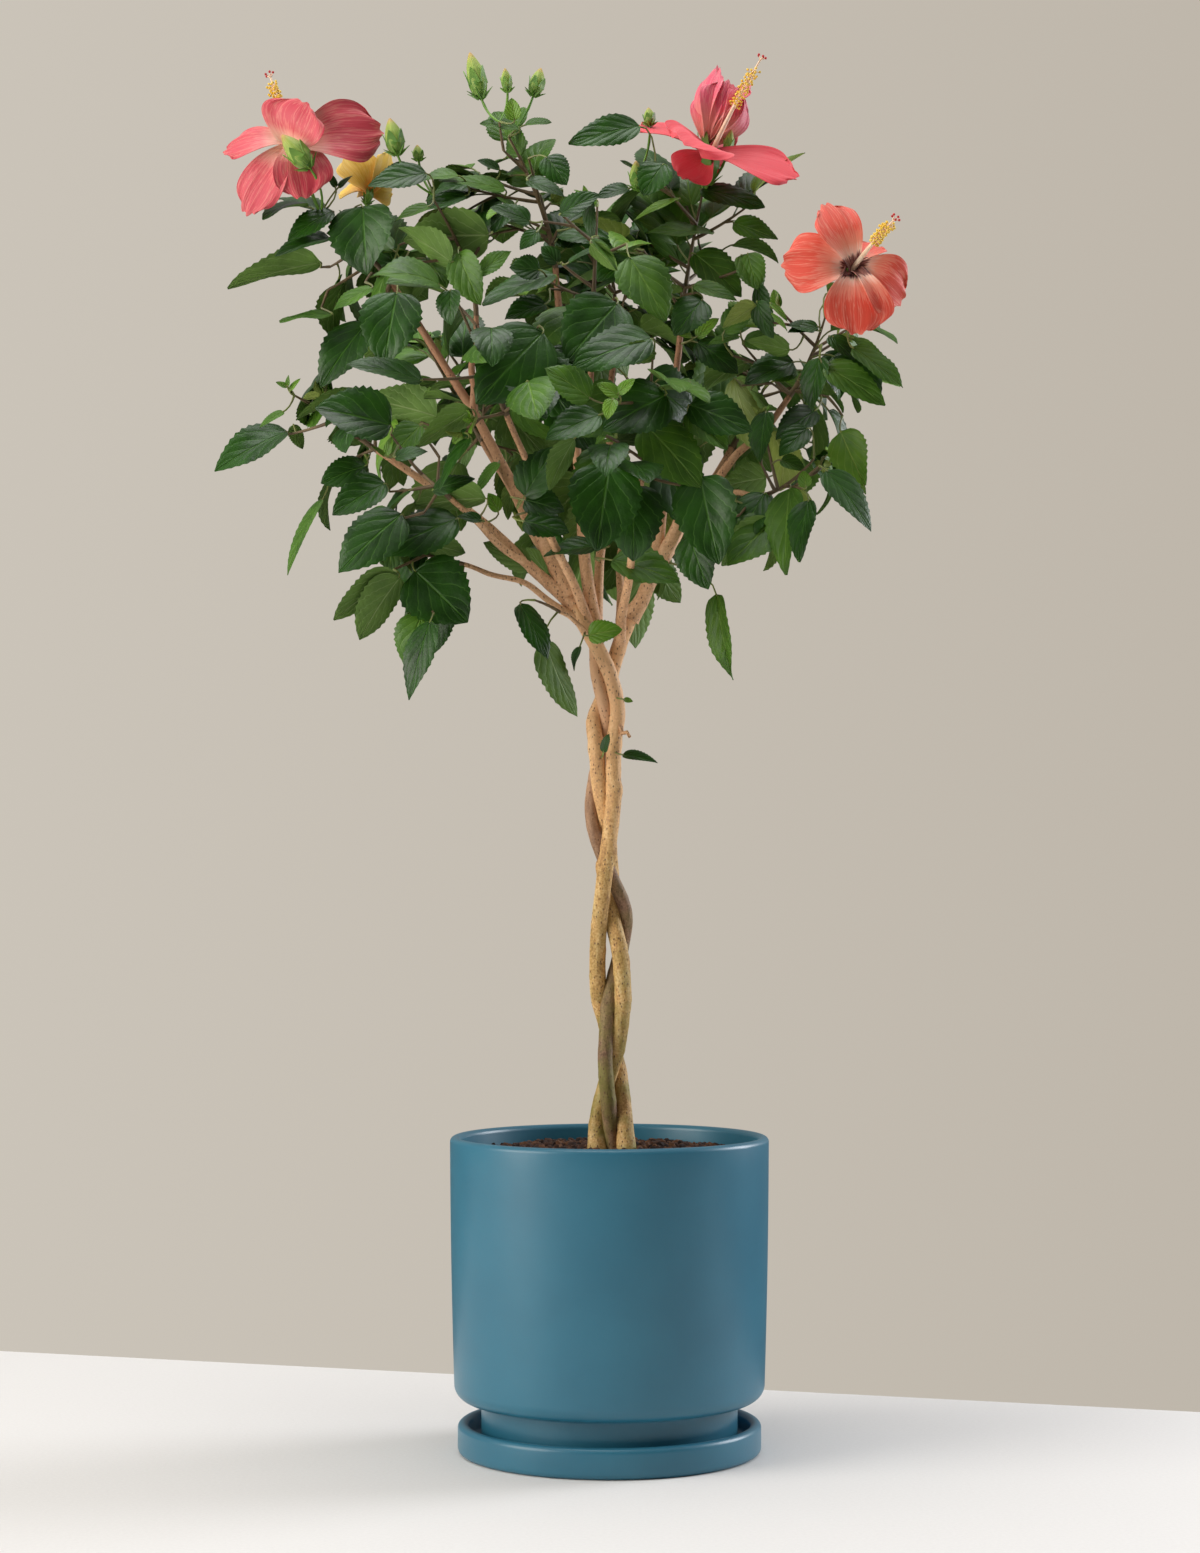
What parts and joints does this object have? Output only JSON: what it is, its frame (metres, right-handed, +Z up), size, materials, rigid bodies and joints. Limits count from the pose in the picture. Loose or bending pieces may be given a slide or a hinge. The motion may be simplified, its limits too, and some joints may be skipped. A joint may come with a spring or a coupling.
{
  "type": "braided hibiscus tree in a pot",
  "caption": "Small flowering hibiscus tree with a braided trunk and a round leafy crown, growing in a glazed cylinder pot on a saucer.",
  "frame": {"origin": "middle of the saucer's flat underside, level with the floor it stands on", "axes": "+Z up along the trunk, -Y towards the front that the picture shows, +X to the right of that view"},
  "size_m": [0.5813, 0.475, 1.1832],
  "materials": {
    "glaze": "satin teal glaze",
    "soil": "coarse dark bark and coir crumbs",
    "bark": "smooth tan bark with small dark pores",
    "foliage": "glossy dark green leaves, coral and orange blossom"
  },
  "bodies": {
    "root": {"saucer": "glaze", "pot": "glaze", "soil": "soil", "stem_left": "bark", "stem_middle": "bark", "stem_right": "bark", "bough_left_low": "bark", "bough_left_high": "bark", "bough_left_top": "bark", "bough_left_under": "bark", "bough_left_inner": "bark", "bough_fork": "bark", "bough_trunk": "bark", "bough_front_left": "bark", "bough_top": "bark", "bough_front_high": "bark", "bough_back_left": "bark", "bough_back_top": "bark", "bough_right": "bark", "bough_front": "bark", "bough_top_right": "bark", "bough_right_high": "bark", "bough_right_low": "bark", "bough_back_right": "bark", "bough_back": "bark", "foliage_top": "foliage", "foliage_left_high": "foliage", "foliage_left_top": "foliage", "foliage_top_right": "foliage", "foliage_right": "foliage", "foliage_left_low": "foliage", "foliage_front_high": "foliage", "foliage_front_left": "foliage", "foliage_front": "foliage", "foliage_left_inner": "foliage", "foliage_left_under": "foliage", "foliage_right_low": "foliage", "foliage_back_left": "foliage", "foliage_back_top": "foliage", "foliage_back_right": "foliage", "foliage_back": "foliage", "foliage_fork": "foliage", "foliage_trunk": "foliage"}
  },
  "joints": []
}
